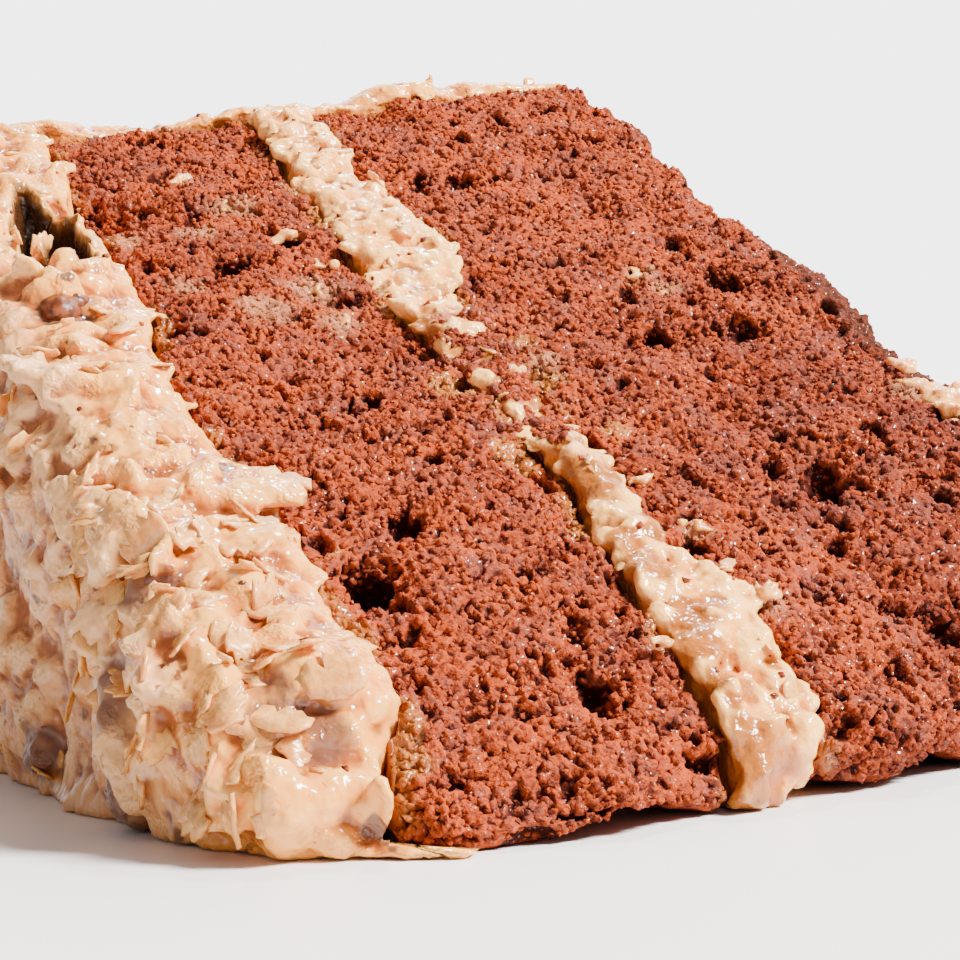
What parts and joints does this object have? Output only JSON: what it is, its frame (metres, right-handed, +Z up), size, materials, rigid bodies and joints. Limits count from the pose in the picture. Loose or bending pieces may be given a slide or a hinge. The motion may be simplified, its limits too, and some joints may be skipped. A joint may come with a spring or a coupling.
{
  "type": "slice of layer cake",
  "caption": "Wedge of chocolate layer cake lying on a cut side, with thick coconut frosting on its top and round its rim and a coconut filling between its sponges.",
  "frame": {"origin": "middle of the bottom of the box round the slice, on the surface that it lies on", "axes": "+Z up, +Y from the tip of the slice to its frosted rim, +X through the layers from the frosted top to the base"},
  "size_m": [0.083, 0.1256, 0.0707],
  "materials": {
    "coconut_frosting": "wet, sticky boiled frosting full of coconut shreds and nut pieces",
    "sponge": "open reddish brown chocolate crumb",
    "coconut_filling": "moist coconut filling, pale with amber spots"
  },
  "bodies": {
    "root": {"coconut_frosting": "coconut_frosting", "upper_sponge": "sponge", "coconut_filling": "coconut_filling", "lower_sponge": "sponge"}
  },
  "joints": []
}
